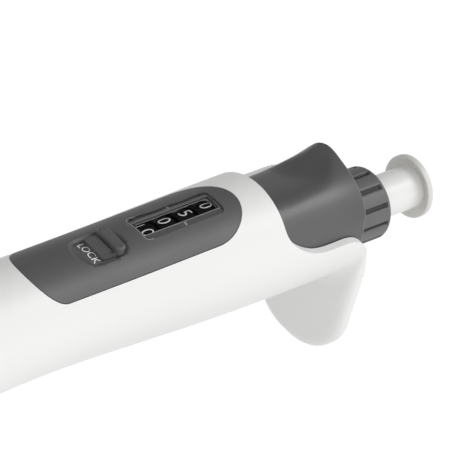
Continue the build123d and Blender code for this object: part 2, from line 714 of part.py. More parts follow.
nozzle_bore = 2.0
with BuildPart() as nozzle:
    with BuildSketch(Plane.XZ):
        with BuildLine():
            Polyline(
                (nozzle_bore, 4.0),
                (nozzle_radius - 1.6, 4.0),
                (nozzle_radius - 1.6, 0),
                (nozzle_radius, 0),
                (nozzle_radius, 10.5),
                (nozzle_radius - 0.8, 10.5),
                (nozzle_radius - 0.8, 12.3),
                (nozzle_radius, 12.3),
                (nozzle_radius, nozzle_length - 3),
                (nozzle_radius + 0.6, nozzle_length),
                (barrel_radius, barrel_bottom - 3),
                (barrel_radius, barrel_bottom - seat_gap),
                (bore_radius - seat_gap, barrel_bottom - seat_gap),
                (bore_radius - seat_gap, floor_level),
                (bore_radius - 3, floor_level),
                (nozzle_bore, floor_level - 3),
                close=True,
            )
        make_face()
    revolve(axis=Axis.Z)
nozzle.part.label = "nozzle"
export_step(nozzle.part, "parts/nozzle.step")

with BuildPart() as nozzle_ring:
    with BuildSketch(Plane.XZ):
        with Locations((nozzle_radius - 0.02, 11.4)):
            Circle(0.75)
    revolve(axis=Axis.Z)
nozzle_ring.part.label = "nozzle_ring"
export_step(nozzle_ring.part, "parts/nozzle_ring.step")

with BuildPart() as filter_disc:
    with Locations((0, 0, 0.6)):
        Cylinder(nozzle_radius - 1.6 - seat_gap, 3.3, align=(Align.CENTER, Align.CENTER, Align.MIN))
filter_disc.part.label = "filter_disc"
export_step(filter_disc.part, "parts/filter_disc.step")

with BuildPart() as blowout_washer:
    with BuildSketch(Plane.XY.offset(washer_level - 1.6)):
        Circle(neck_bore - 0.15)
        Circle(5.7, mode=Mode.SUBTRACT)
    extrude(amount=1.6)
blowout_washer.part.label = "blowout_washer"
export_step(blowout_washer.part, "parts/blowout_washer.step")

primary_spring = spring_part(4.5, 1.0, seat_level + 0.02, collar_bottom - 0.02, 9)
primary_spring.label = "primary_spring"
export_step(primary_spring, "parts/primary_spring.step")

blowout_spring = spring_part(6.95, 1.2, seat_level + 0.02, washer_level - 1.62, 7)
blowout_spring.label = "blowout_spring"
export_step(blowout_spring, "parts/blowout_spring.step")

# Tip ejector ----------------------------------------------------------------------------------------
skirt_foot = cavity_top + eject_travel + 0.6
skirt_wall = 2.2
deck = 2.0
scoop_wall = 1.6
with BuildPart() as ejector_button:
    with BuildSketch(Plane.YZ):
        with BuildLine():
            Polyline(
                (-grip_shift, ejector_top),
                (-grip_shift - lip_reach + 0.3, ejector_top),
                (-grip_shift - lip_reach, ejector_top - 0.3),
                (-grip_shift - lip_reach, ejector_top - 0.8),
            )
            Spline(
                (-grip_shift - lip_reach, ejector_top - 0.8),
                (-grip_shift - ejector_radius - 0.8, ejector_top - 5.0),
                (-grip_shift - ejector_radius, ejector_top - 9.5),
                tangents=((0.45, -1), (0, -1)),
            )
            Polyline(
                (-grip_shift - ejector_radius, ejector_top - 9.5),
                (-grip_shift - ejector_radius, skirt_foot),
                (-grip_shift, skirt_foot),
                (-grip_shift, ejector_top),
            )
        make_face()
    revolve(axis=Axis((0, -grip_shift, 0), (0, 0, 1)))
    # Seen from above the rim is round, with the lip of the thumb scoop standing out of it.
    with BuildPart(mode=Mode.PRIVATE) as hood_plan:
        with BuildSketch(Plane.XY.offset(skirt_foot - 1)):
            with Locations((0, -grip_shift)):
                Circle(ejector_rim_radius)
            with Locations(Location((0, -grip_shift, 0), (0, 0, -scoop_turn))):
                Ellipse(lip_half_width, lip_reach)
        extrude(amount=ejector_top - skirt_foot + 4)
    add(hood_plan.part, mode=Mode.INTERSECT)
    # The inside is round, and flat behind the thumb scoop.
    with BuildPart(mode=Mode.PRIVATE) as hollow:
        with Locations((0, -grip_shift, skirt_foot)):
            Cylinder(ejector_radius - skirt_wall, ejector_top - deck - skirt_foot,
                     align=(Align.CENTER, Align.CENTER, Align.MIN))
        hood_place = Location((0, -grip_shift, skirt_foot - 1), (0, 0, -scoop_turn))
        with Locations(hood_place * Location((0, scoop_wall - scoop_face, 0))):
            Box(40, 20, 60, align=(Align.CENTER, Align.MAX, Align.MIN), mode=Mode.SUBTRACT)
    add(hollow.part, mode=Mode.SUBTRACT)
    # The rim is full only where it stands clear of the grip's side walls.
    with BuildSketch(Plane.XY.offset(skirt_foot - 1)):
        with Locations((0, 15 - grip_shift - 5.9)):
            Rectangle(60, 30)
        with Locations((0, -grip_shift)):
            Circle(ejector_radius, mode=Mode.SUBTRACT)
    extrude(amount=ejector_top - skirt_foot + 4, mode=Mode.SUBTRACT)
    # Thumb scoop: the front is cut back to a flat that sweeps out again to the lip.
    with BuildPart(mode=Mode.PRIVATE) as scoop:
        with BuildSketch(Plane.YZ):
            with BuildLine():
                Polyline((-40, ejector_top - 1.2), (-40, skirt_foot - 1), (-scoop_face, skirt_foot - 1),
                         (-scoop_face, ejector_top - 13.0))
                Spline(
                    (-scoop_face, ejector_top - 13.0),
                    (-scoop_face - 1.5, ejector_top - 7.0),
                    (-lip_reach - 0.3, ejector_top - 1.2),
                    tangents=((0, 1), (-1, 0.9)),
                )
                Line((-lip_reach - 0.3, ejector_top - 1.2), (-40, ejector_top - 1.2))
            make_face()
        extrude(amount=30, both=True)
    turned_scoop = scoop.part.rotate(Axis.Z, -scoop_turn).moved(Location((0, -grip_shift, 0)))
    add(turned_scoop, mode=Mode.SUBTRACT)
    # Boss for the rod, inside the skirt.
    with Locations((rod_x, rod_y, skirt_foot)):
        Cylinder(rod_radius + 1.1, ejector_top - 0.5 - skirt_foot,
                 align=(Align.CENTER, Align.CENTER, Align.MIN))
    # Hole for the volume ring.
    with Locations((0, 0, ejector_top)):
        Cylinder(ring_radius + part_gap, 20, mode=Mode.SUBTRACT)
    with Locations((rod_x, rod_y, skirt_foot)):
        Cylinder(rod_radius + seat_gap, 12, mode=Mode.SUBTRACT)
ejector_button.part.label = "ejector_button"
export_step(ejector_button.part, "parts/ejector_button.step")

sleeve_plate = grip_bottom - plate_drop
with BuildPart() as ejector_rod:
    with Locations((rod_x, rod_y, sleeve_plate + 0.1)):
        Cylinder(rod_radius, skirt_foot + 5.9 - sleeve_plate - 0.1, align=(Align.CENTER, Align.CENTER, Align.MIN))
ejector_rod.part.label = "ejector_rod"
export_step(ejector_rod.part, "parts/ejector_rod.step")

ejector_spring = spring_part(rod_radius + 0.5, 0.5, upper_level + 2.42, skirt_foot - 0.02, 9)
ejector_spring = ejector_spring.moved(Location((rod_x, rod_y, 0)))
ejector_spring.label = "ejector_spring"
export_step(ejector_spring, "parts/ejector_spring.step")

# Outer sleeve over the barrel: its foot pushes the tip off the nozzle.
sleeve_wall = 1.4
with BuildPart() as ejector_sleeve:
    with BuildSketch(Plane.XZ):
        with BuildLine():
            inner = barrel_radius + part_gap
            throat = nozzle_radius + 0.4
            Polyline(
                (neck_radius + part_gap, sleeve_plate),
                (inner + sleeve_wall - 0.8, sleeve_plate),
                (inner + sleeve_wall, sleeve_plate - 0.8),
                (inner + sleeve_wall, barrel_bottom - 3.6),
                (throat + sleeve_wall + 0.6, nozzle_length - 0.8),
                (throat + sleeve_wall, nozzle_length - 8.0),
                (throat, nozzle_length - 8.0),
                (throat, nozzle_length - 3.2),
                (throat + 0.6, nozzle_length - 0.2),
                (inner, barrel_bottom - 3.2),
                (inner, sleeve_plate - plate_thickness),
                (neck_radius + part_gap, sleeve_plate - plate_thickness),
                close=True,
            )
        make_face()
    revolve(axis=Axis.Z)
    with Locations((rod_x, rod_y, sleeve_plate)):
        Cylinder(rod_radius + seat_gap, 6, mode=Mode.SUBTRACT)
ejector_sleeve.part.label = "ejector_sleeve"
export_step(ejector_sleeve.part, "parts/ejector_sleeve.step")
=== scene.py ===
"""Looks of the adjustable-volume pipette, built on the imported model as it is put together."""
import math

import bmesh
import bpy
from mathutils import Matrix, Vector
from mathutils.bvhtree import BVHTree


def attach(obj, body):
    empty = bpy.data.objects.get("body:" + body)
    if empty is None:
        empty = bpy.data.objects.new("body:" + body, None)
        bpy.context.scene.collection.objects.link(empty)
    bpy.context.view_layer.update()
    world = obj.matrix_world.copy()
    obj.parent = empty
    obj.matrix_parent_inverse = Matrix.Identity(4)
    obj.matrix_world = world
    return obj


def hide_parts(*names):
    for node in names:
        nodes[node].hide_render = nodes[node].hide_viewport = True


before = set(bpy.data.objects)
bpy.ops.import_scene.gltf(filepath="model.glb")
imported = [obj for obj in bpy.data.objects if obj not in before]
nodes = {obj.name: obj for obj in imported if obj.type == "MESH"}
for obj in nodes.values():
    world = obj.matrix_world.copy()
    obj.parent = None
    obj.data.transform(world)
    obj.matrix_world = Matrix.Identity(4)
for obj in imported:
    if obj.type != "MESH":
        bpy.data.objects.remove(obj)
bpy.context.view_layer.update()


# Studio ----------------------------------------------------------------------------------------
# A white sweep lights the instrument from all round and is dimmer over the far side of the
# grip and below it, so that the white polymer keeps its form.  One soft box in front of the
# thumb scoop draws the soft highlights on the grey parts.
def linear(hex_colour):
    """The linear colour of an sRGB hex value, with alpha 1."""
    channels = [int(hex_colour[i:i + 2], 16) / 255 for i in (1, 3, 5)]
    return [c / 12.92 if c <= 0.04045 else ((c + 0.055) / 1.055) ** 2.4 for c in channels] + [1.0]


def put(tree, kind, links=None, **settings):
    """Adds one node: settings are its properties or its sockets' values, links its incoming wires."""
    node = tree.nodes.new(kind)
    for name, value in settings.items():
        if hasattr(node, name):
            setattr(node, name, value)
        else:
            node.inputs[name.replace("_", " ")].default_value = value
    for socket, source in (links or {}).items():
        tree.links.new(source, node.inputs[socket])
    return node


# The camera looks up from below the nozzle's level through a long lens, turned round the grip
# and rolled.
tilt = math.radians(37)
turn = math.radians(39)
roll = math.radians(20.4)
picture_width = 450
focal_pixels = 8000.0
pixels_per_mm = 4.1
ring_pixel = (366.8, 201.8)     # where the middle of the volume ring's top falls
reach = focal_pixels / pixels_per_mm / 1000
side = Vector((math.sin(turn), -math.cos(turn), 0))
toward_camera = math.cos(tilt) * side - math.sin(tilt) * Vector((0, 0, 1))
along = math.cos(tilt) * Vector((0, 0, 1)) + math.sin(tilt) * side
across = Vector((math.cos(turn), math.sin(turn), 0))
image_right = math.cos(roll) * along + math.sin(roll) * across
image_down = -math.sin(roll) * along + math.cos(roll) * across
ring_face = Vector((0, 0, 0.275))
shift_right = (ring_pixel[0] - picture_width / 2) / focal_pixels
shift_down = (ring_pixel[1] - picture_width / 2) / focal_pixels
eye = ring_face + reach * (toward_camera - shift_right * image_right - shift_down * image_down)
camera_data = bpy.data.cameras.new("camera")
camera_data.sensor_width = 36
camera_data.lens = camera_data.sensor_width * focal_pixels / picture_width
camera_data.clip_start = 0.1
camera_data.clip_end = 20
camera = bpy.data.objects.new("camera", camera_data)
axes = Matrix((image_right, -image_down, toward_camera)).transposed().to_4x4()
camera.matrix_world = Matrix.Translation(eye) @ axes
bpy.context.scene.collection.objects.link(camera)
bpy.context.scene.camera = camera

floor_radius, floor_drop = 0.12, 0.0005
floor_mesh = bpy.data.meshes.new("floor")
floor_shape = bmesh.new()
bmesh.ops.create_circle(floor_shape, cap_ends=True, segments=128, radius=floor_radius)
bmesh.ops.translate(floor_shape, verts=floor_shape.verts, vec=(0, 0, -floor_drop))
floor_shape.to_mesh(floor_mesh)
floor_shape.free()
studio_floor = bpy.data.objects.new("studio_floor", floor_mesh)
bpy.context.scene.collection.objects.link(studio_floor)
paper = bpy.data.materials.new("matt_white_backdrop_paper")
paper.use_nodes = True
paper_shader = paper.node_tree.nodes["Principled BSDF"]
paper_shader.inputs["Base Color"].default_value = linear("#F4F4F3")
paper_shader.inputs["Roughness"].default_value = 0.9
floor_mesh.materials.append(paper)

world = bpy.data.worlds.new("white_sweep")
world.use_nodes = True
bpy.context.scene.world = world
sky = world.node_tree
sky.nodes.clear()
direction = put(sky, "ShaderNodeTexCoord")
overhead = put(sky, "ShaderNodeVectorMath", {0: direction.outputs["Generated"]}, operation="DOT_PRODUCT")
overhead.inputs[1].default_value = -image_down
dimming = put(sky, "ShaderNodeMapRange", {"Value": overhead.outputs["Value"]},
              interpolation_type="SMOOTHSTEP", From_Min=0.28, From_Max=0.88, To_Min=1.05, To_Max=0.16)
falling = put(sky, "ShaderNodeMapRange", {"Value": overhead.outputs["Value"]},
              interpolation_type="SMOOTHSTEP", From_Min=-0.9, From_Max=-0.2, To_Min=0.78, To_Max=1.0)
axial = put(sky, "ShaderNodeVectorMath", {0: direction.outputs["Generated"]}, operation="DOT_PRODUCT")
axial.inputs[1].default_value = (0, 0, 1)
below = put(sky, "ShaderNodeMapRange", {"Value": axial.outputs["Value"]}, interpolation_type="SMOOTHSTEP",
            From_Min=-0.95, From_Max=-0.30, To_Min=0.44, To_Max=1.0)
side_level = put(sky, "ShaderNodeMath", {0: dimming.outputs["Result"], 1: falling.outputs["Result"]},
                 operation="MULTIPLY")
level = put(sky, "ShaderNodeMath", {0: side_level.outputs["Value"], 1: below.outputs["Result"]},
            operation="MULTIPLY")
sweep = put(sky, "ShaderNodeBackground", {"Strength": level.outputs["Value"]}, Color=(1, 1, 1, 1))
put(sky, "ShaderNodeOutputWorld", {"Surface": sweep.outputs["Background"]})


def soft_box(name, direction, distance, size, watts):
    """An area light that faces the upper half of the instrument from one direction."""
    lamp = bpy.data.lights.new(name, "AREA")
    lamp.shape = "RECTANGLE"
    lamp.size, lamp.size_y = size
    lamp.energy = watts
    holder = bpy.data.objects.new(name, lamp)
    aim = Vector((0, 0, 0.22))
    holder.location = aim + Vector(direction).normalized() * distance
    holder.rotation_euler = (aim - holder.location).to_track_quat("-Z", "Y").to_euler()
    bpy.context.scene.collection.objects.link(holder)


soft_box("front_soft_box", (0.30, -0.75, 0.60), 1.2, (0.30, 0.60), 4.0)
bpy.context.scene.view_settings.view_transform = "Standard"


# Hand grip -------------------------------------------------------------------------------------
# One long shell with the finger hook, moulded in white PVDF so that it stands the autoclave.
# The mould's fine spark-eroded skin gives it a satin, slightly uneven sheen, and its text
# block is left bare.
def moulded(name, colour, sheen, grain_mm, relief_mm, mottle):
    """A moulded polymer: a base colour with faint mottle, and the mould's grain as relief."""
    material = bpy.data.materials.new(name)
    material.use_nodes = True
    tree = material.node_tree
    shader = tree.nodes["Principled BSDF"]
    place = put(tree, "ShaderNodeTexCoord")
    drift_mm = 22
    drift = put(tree, "ShaderNodeTexNoise", {"Vector": place.outputs["Object"]}, Scale=1000 / drift_mm,
                Detail=3.0)
    tint = put(tree, "ShaderNodeMix", {"Factor": drift.outputs["Fac"]}, data_type="RGBA", blend_type="MIX")
    tint.inputs[6].default_value = linear(colour)
    tint.inputs[7].default_value = [c * (1 - mottle) for c in linear(colour)[:3]] + [1.0]
    tree.links.new(tint.outputs[2], shader.inputs["Base Color"])
    grain = put(tree, "ShaderNodeTexNoise", {"Vector": place.outputs["Object"]}, Scale=1000 / grain_mm,
                Detail=2.0)
    polish = put(tree, "ShaderNodeMapRange", {"Value": drift.outputs["Fac"]}, From_Min=0.3, From_Max=0.7,
                 To_Min=sheen - 0.03, To_Max=sheen + 0.03)
    tree.links.new(polish.outputs["Result"], shader.inputs["Roughness"])
    relief = put(tree, "ShaderNodeBump", {"Height": grain.outputs["Fac"]}, Strength=0.35,
                 Distance=relief_mm / 1000)
    tree.links.new(relief.outputs["Normal"], shader.inputs["Normal"])
    shader.inputs["IOR"].default_value = 1.5
    return material


def finish_with(material, *names):
    """Gives CAD nodes their material in every slot."""
    for name in names:
        mesh = nodes[name].data
        mesh.materials.clear()
        mesh.materials.append(material)


white_pvdf = moulded("satin_white_pvdf", "#F4F4F3", 0.46, 0.5, 0.012, 0.015)
finish_with(white_pvdf, "handle_shell", "ejector_sleeve")


# Display bezel ---------------------------------------------------------------------------------
# A thin curved plate of dark grey glass-filled polyamide, clipped into the grip's front.
# Its fine spark-eroded texture spreads the light into wide soft bands.
grey_polyamide = moulded("matt_dark_grey_polyamide", "#5C5C5D", 0.48, 0.45, 0.015, 0.05)
finish_with(grey_polyamide, "display_bezel", "lock_slider")

# The word on the recess floor is pad-printed in white ink, on the tip side of the slider.
ink = moulded("white_pad_print_ink", "#FCFCFA", 0.55, 0.25, 0.004, 0.03)


def lettering(name, text, centre, size, axis_y, radius, thickness, body, thin=0.0, squeeze=1.0):
    """A printed text, wrapped round a vertical cylinder; size is the height of its capitals."""
    curve = bpy.data.curves.new(name, "FONT")
    curve.body = text
    curve.align_x = "CENTER"
    curve.offset = -thin
    letters = bpy.data.objects.new(name, curve)
    bpy.context.scene.collection.objects.link(letters)
    bpy.context.view_layer.update()
    mesh = bpy.data.meshes.new_from_object(letters.evaluated_get(bpy.context.evaluated_depsgraph_get()))
    bpy.data.objects.remove(letters)
    shape = bmesh.new()
    shape.from_mesh(mesh)
    bmesh.ops.remove_doubles(shape, verts=shape.verts, dist=1e-5)
    bmesh.ops.triangulate(shape, faces=shape.faces)
    low = min(v.co.y for v in shape.verts)
    high = max(v.co.y for v in shape.verts)
    left = min(v.co.x for v in shape.verts)
    right = max(v.co.x for v in shape.verts)
    unit = size / (high - low)
    for _ in range(2):
        long_edges = [e for e in shape.edges if e.calc_length() * unit > 0.0006]
        bmesh.ops.subdivide_edges(shape, edges=long_edges, cuts=1)
        bmesh.ops.triangulate(shape, faces=shape.faces)
    top = bmesh.ops.extrude_face_region(shape, geom=shape.faces[:])
    front = set(v for v in top["geom"] if isinstance(v, bmesh.types.BMVert))
    for v in shape.verts:
        arc = centre[0] + (v.co.x - (left + right) / 2) * unit * squeeze
        out = radius + (thickness if v in front else 0.0)
        height = centre[1] + (v.co.y - (low + high) / 2) * unit
        v.co = (out * math.sin(arc / radius), axis_y - out * math.cos(arc / radius), height)
    bmesh.ops.recalc_face_normals(shape, faces=shape.faces)
    mesh.clear_geometry()
    shape.to_mesh(mesh)
    shape.free()
    mesh.materials.clear()
    mesh.materials.append(ink)
    piece = bpy.data.objects.new(name, mesh)
    bpy.context.scene.collection.objects.link(piece)
    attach(piece, body)
    return piece


# The word is wrapped just in front of the grip, then moved straight back onto the recess floor.
word_centre, word_height, word_radius = (0.0003, 0.1803), 0.0021, 0.0170
grip_axis_y = -0.0048
ink_proud, ink_sunk = 0.00004, 0.00002
lock_word = lettering("lock_word", "LOCK", word_centre, word_height, grip_axis_y, word_radius, 0.0, "handle",
                      squeeze=0.9)
recess = BVHTree.FromObject(nodes["display_bezel"], bpy.context.evaluated_depsgraph_get())
half = len(lock_word.data.vertices) // 2
for index, vertex in enumerate(lock_word.data.vertices):
    start = Vector((vertex.co.x, -0.03, vertex.co.z))
    floor_hit = recess.ray_cast(start, Vector((0, 1, 0)))[0]
    vertex.co.y = floor_hit.y - (ink_proud if index >= half else -ink_sunk)


# Number window ---------------------------------------------------------------------------------
# A clear acrylic lens lies over two moulded side strips, which leave a slot for the drums.
# The opening lies a little round the grip, towards the thumb, so the digits face the user.
opening_half, opening_low, opening_high = 0.00396, 0.19545, 0.22055
strip_lift = 0.00026      # the strips stand closer under a thinner lens
skin_radius, skin_axis_y, skin_level = 0.01565, -0.0043, 0.208
lens_back, strip_back = 0.0003, 0.00065
# Each pair is a place across the opening, and how far it goes round the grip.
window_lean = [(-0.0039, -0.0015), (-0.00195, -0.00115), (0.00195, -0.00035), (0.0039, -0.00037)]


def leaned(x):
    """Where a point across the window goes, between the places in window_lean."""
    for (x0, d0), (x1, d1) in zip(window_lean, window_lean[1:]):
        if x <= x1:
            break
    return x + d0 + (d1 - d0) * (min(max(x, x0), x1) - x0) / (x1 - x0)


def grip_skin(x, z, depth):
    """The y of the grip's front at x and z, at a depth under its skin; z is near the window."""
    share = (z - skin_level) / 0.026
    radius = skin_radius + (0.00035 if share > 0 else 0.0006) * share - depth
    centre = skin_axis_y + (0.0001 if share > 0 else 0.0006) * share
    return centre - math.sqrt(radius ** 2 - x ** 2)


def leaned_copy(node_name):
    """A copy of a CAD piece with the window's edges leaned round the grip, in place of the node."""
    mesh = nodes[node_name].data.copy()
    shape = bmesh.new()
    shape.from_mesh(mesh)
    bmesh.ops.remove_doubles(shape, verts=shape.verts, dist=1e-6)
    for v in shape.verts:
        in_front = v.co.y < -0.012
        if in_front and abs(v.co.x) < opening_half and opening_low < v.co.z < opening_high:
            x = leaned(v.co.x)
            v.co.y += grip_skin(x, v.co.z, 0) - grip_skin(v.co.x, v.co.z, 0)
            v.co.x = x
        depth = skin_radius - math.hypot(v.co.x, v.co.y - skin_axis_y)
        back_of_lens = node_name == "window_lens" and depth > lens_back
        front_of_strip = node_name == "window_mask" and depth < strip_back
        if back_of_lens or front_of_strip:
            v.co.y -= strip_lift
    shape.normal_update()
    shape.to_mesh(mesh)
    shape.free()
    mesh.shade_smooth()
    mesh.set_sharp_from_angle(angle=math.radians(30))
    piece = bpy.data.objects.new(node_name + "_leaned", mesh)
    bpy.context.scene.collection.objects.link(piece)
    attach(piece, "handle")
    return piece


# Cast and polished acrylic is clear and glossy, and shows only a faint dark veil.
acrylic = bpy.data.materials.new("clear_cast_acrylic")
acrylic.use_nodes = True
acrylic_shader = acrylic.node_tree.nodes["Principled BSDF"]
acrylic_shader.inputs["Base Color"].default_value = linear("#1C1C1E")
acrylic_shader.inputs["Roughness"].default_value = 0.03
acrylic_shader.inputs["IOR"].default_value = 1.49
acrylic_shader.inputs["Alpha"].default_value = 0.04
finish_with(acrylic, "window_lens")
# Moulded ABS with a fine matt face: dark grey, so the digits stand out.
strip_polymer = moulded("matt_charcoal_abs", "#585859", 0.5, 0.4, 0.01, 0.05)
finish_with(strip_polymer, "window_mask")
# Thin grey lines, slightly soft: the hairlines beside the drums are painted highlights along the slot's
# edges, and the ticks are printed.
print_and_edge_highlight = moulded("grey_print_and_painted_highlight_lines", "#A9A9A8", 0.5, 0.25, 0.004, 0.03)


def solid_object(name, verts, faces, material, body, sharp=35):
    """A mesh object with outward faces, smooth but for its sharp edges, riding on one body."""
    mesh = bpy.data.meshes.new(name)
    mesh.from_pydata(verts, [], faces)
    shape = bmesh.new()
    shape.from_mesh(mesh)
    bmesh.ops.remove_doubles(shape, verts=shape.verts, dist=1e-7)
    bmesh.ops.recalc_face_normals(shape, faces=shape.faces)
    shape.to_mesh(mesh)
    shape.free()
    mesh.shade_smooth()
    mesh.set_sharp_from_angle(angle=math.radians(sharp))
    mesh.materials.append(material)
    piece = bpy.data.objects.new(name, mesh)
    bpy.context.scene.collection.objects.link(piece)
    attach(piece, body)
    return piece


for leaned_name, leaned_slot in (("display_bezel", "grey_bezel"), ("window_lens", "clear_lens"),
                                 ("window_mask", "grey_mask")):
    leaned_piece = leaned_copy(leaned_name)
    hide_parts(leaned_name)

# Grey lines on the strips: hairlines beside the drums, which are painted highlights along the slot's edges,
# and a printed tick at the decimal step. Each line is given by its left edge, its width, and its lower and
# upper ends.
line_foot, line_head = 0.1960, 0.2200
tick_foot, tick_head = 0.2083, 0.2088
mark_front, mark_back = 0.00020, 0.00027
ticks_and_highlight_lines = [(-0.00333, 0.00012, line_foot, line_head), (-0.00378, 0.00010, line_foot, line_head),
          (0.00172, 0.00013, line_foot, line_head), (-0.00515, 0.00125, tick_foot, tick_head),
          (0.00200, 0.00105, tick_foot, tick_head)]
line_verts, line_faces = [], []
for left, width, low, high in ticks_and_highlight_lines:
    rows = max(1, round((high - low) / 0.001))
    for row in range(rows):
        for step in (0, 1):
            z = low + (high - low) * (row + step) / rows
            for x in (left, left + width):
                line_verts.append((x, grip_skin(x, z, mark_front), z))
                line_verts.append((x, grip_skin(x, z, mark_back), z))
        a = len(line_verts) - 8
        line_faces += [(a, a + 2, a + 6, a + 4), (a + 1, a + 5, a + 7, a + 3), (a, a + 4, a + 5, a + 1),
                       (a + 2, a + 3, a + 7, a + 6)]
        if row == 0:
            line_faces.append((a, a + 1, a + 3, a + 2))
        if row == rows - 1:
            line_faces.append((a + 4, a + 6, a + 7, a + 5))
window_print = solid_object("window_print", line_verts, line_faces, print_and_edge_highlight, "handle")

# The lens's moulded edge: a fine pale bead round the tip end of the opening, a painted highlight where the
# edge catches the light.
left_edge, right_edge, foot_edge = -0.00531, 0.00344, 0.1956
corner, bead_radius, bead_depth = 0.0014, 0.00010, 0.00004
left_rise, right_rise = 0.0032, 0.0022
quarter = [math.radians(a) for a in range(0, 91, 15)]
foot_run = right_edge - left_edge - 2 * corner
path = [(left_edge, foot_edge + left_rise)]
path += [(left_edge + corner * (1 - math.cos(a)), foot_edge + corner * (1 - math.sin(a))) for a in quarter]
path += [(left_edge + corner + foot_run * k / 10, foot_edge) for k in range(1, 10)]
path += [(right_edge - corner * (1 - math.sin(a)), foot_edge + corner * (1 - math.cos(a))) for a in quarter]
path.append((right_edge, foot_edge + right_rise))
bead_verts, bead_faces, around = [], [], 8
for index, (x, z) in enumerate(path):
    x1, z1 = path[min(index + 1, len(path) - 1)]
    x0, z0 = path[max(index - 1, 0)]
    way = Vector((x1 - x0, 0, z1 - z0)).normalized()
    outward = Vector((way.z, 0, -way.x))
    heart = Vector((x, grip_skin(x, z, bead_depth), z))
    for corner_step in range(around):
        angle = 2 * math.pi * corner_step / around
        out = math.cos(angle) * outward + math.sin(angle) * Vector((0, 1, 0))
        bead_verts.append(heart + bead_radius * out)
for index in range(len(path) - 1):
    for corner_step in range(around):
        a, b, n = index * around, (index + 1) * around, (corner_step + 1) % around
        bead_faces.append((a + corner_step, b + corner_step, b + n, a + n))
bead_faces += [tuple(range(around)), tuple(range((len(path) - 1) * around, len(path) * around))]
# Its pale grey is a painted highlight, which gives a thin pale line.
bead_painted_highlight = moulded("painted_highlight_acrylic_edge", "#A2A2A3", 0.35, 0.3, 0.004, 0.03)
lens_edge = solid_object("lens_edge", bead_verts, bead_faces, bead_painted_highlight, "handle")


# Number drums ----------------------------------------------------------------------------------
# Four acetal drums on one steel shaft, moulded black, with ten digits pad-printed round each.
# The acetal reflects little behind the lens, so the drums read as one black band.
black_acetal = moulded("black_moulded_acetal", "#0B0B0C", 0.55, 0.4, 0.006, 0.1)
black_acetal.node_tree.nodes["Principled BSDF"].inputs["Specular IOR Level"].default_value = 0.15
finish_with(black_acetal, "number_wheel_tens", "number_wheel_units", "number_wheel_tenths",
            "number_wheel_hundredths")
drum_radius, drum_shaft_y = 0.0055, -0.0133
digit_height, digit_squeeze, digit_thinning, ink_thickness = 0.0036, 0.90, 0.010, 0.00003
digit_pitch = 0.0066
first_digit = 0.2084 + 1.5 * digit_pitch
facing_arc = -0.0013
# The reading that each drum shows; the fastest stands between two digits.
shown = {"tens": 0.0, "units": 5.0, "tenths": 0.0, "hundredths": 0.5}
for place_index, (place_name, reading) in enumerate(shown.items()):
    level = first_digit - place_index * digit_pitch
    digits = []
    for digit in range(10):
        arc = facing_arc + (reading - digit) * math.radians(36) * drum_radius
        digits.append(lettering(f"digit_{place_name}_{digit}", str(digit), (arc, level), digit_height,
                                drum_shaft_y, drum_radius, ink_thickness, "drum_" + place_name,
                                thin=digit_thinning, squeeze=digit_squeeze))
    joined = bmesh.new()
    for digit_piece in digits:
        joined.from_mesh(digit_piece.data)
        bpy.data.objects.remove(digit_piece)
    digit_mesh = bpy.data.meshes.new("digits_" + place_name)
    joined.to_mesh(digit_mesh)
    joined.free()
    digit_mesh.materials.append(ink)
    print_ring = bpy.data.objects.new("digits_" + place_name, digit_mesh)
    bpy.context.scene.collection.objects.link(print_ring)
    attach(print_ring, "drum_" + place_name)


# Counter gears and frame -----------------------------------------------------------------------
# Natural acetal gears run dry on ground steel pins; the frame and bulkheads are glass-filled.
acetal = moulded("natural_acetal", "#E6E3DA", 0.4, 0.6, 0.006, 0.03)
finish_with(acetal, "drive_gear", "idler_gear", "wheel_pinion", "carry_pinion_units", "carry_pinion_tenths",
            "carry_pinion_hundredths")
# Glass fibres leave the dark moulded polyamide dull and slightly mottled.
frame_polymer = moulded("glass_filled_polyamide", "#3A3A3C", 0.55, 0.5, 0.02, 0.08)
finish_with(frame_polymer, "counter_frame", "upper_bulkhead", "lower_bulkhead", "screw_nut", "barrel_socket")


def ground_metal(name, colour, roughness, line_mm, relief_mm):
    """A turned or ground metal: fine rings round its axis, from wave lines along Z."""
    material = bpy.data.materials.new(name)
    material.use_nodes = True
    tree = material.node_tree
    shader = tree.nodes["Principled BSDF"]
    shader.inputs["Base Color"].default_value = linear(colour)
    shader.inputs["Metallic"].default_value = 1.0
    place = put(tree, "ShaderNodeTexCoord")
    repeat_mm = 2 * math.pi * line_mm      # a line is about a sixth of the wave's repeat
    repeat_at_one = 314                    # the repeat in mm at a scale of 1
    lines = put(tree, "ShaderNodeTexWave", {"Vector": place.outputs["Object"]}, wave_type="BANDS",
                bands_direction="Z", Scale=repeat_at_one / repeat_mm, Distortion=1.5, Detail=2.0)
    spread = put(tree, "ShaderNodeMapRange", {"Value": lines.outputs["Fac"]}, To_Min=roughness - 0.05,
                 To_Max=roughness + 0.06)
    tree.links.new(spread.outputs["Result"], shader.inputs["Roughness"])
    relief = put(tree, "ShaderNodeBump", {"Height": lines.outputs["Fac"]}, Strength=0.3,
                 Distance=relief_mm / 1000)
    tree.links.new(relief.outputs["Normal"], shader.inputs["Normal"])
    return material


# Ground stainless steel is bright, with fine rings round each pin.
ground_steel = ground_metal("ground_stainless_steel", "#C9C8C5", 0.25, 0.2, 0.004)
finish_with(ground_steel, "wheel_shaft", "carry_shaft", "stop_washer", "push_rod", "rod_collar",
            "blowout_washer", "ejector_rod")


# Volume ring -----------------------------------------------------------------------------------
# A ribbed ring of the same grey polyamide, pressed on the brass sleeve that turns the screw.
ring_polyamide = moulded("matt_grey_polyamide_ring", "#6A6A6B", 0.48, 0.45, 0.015, 0.05)
ring_foot, ring_head = 0.2615, 0.275
ring_outside, groove_floor, ring_bore = 0.00925, 0.00858, 0.00662
well_wall, well_floor = 0.00825, ring_head - 0.0081
rim_round = 0.0009
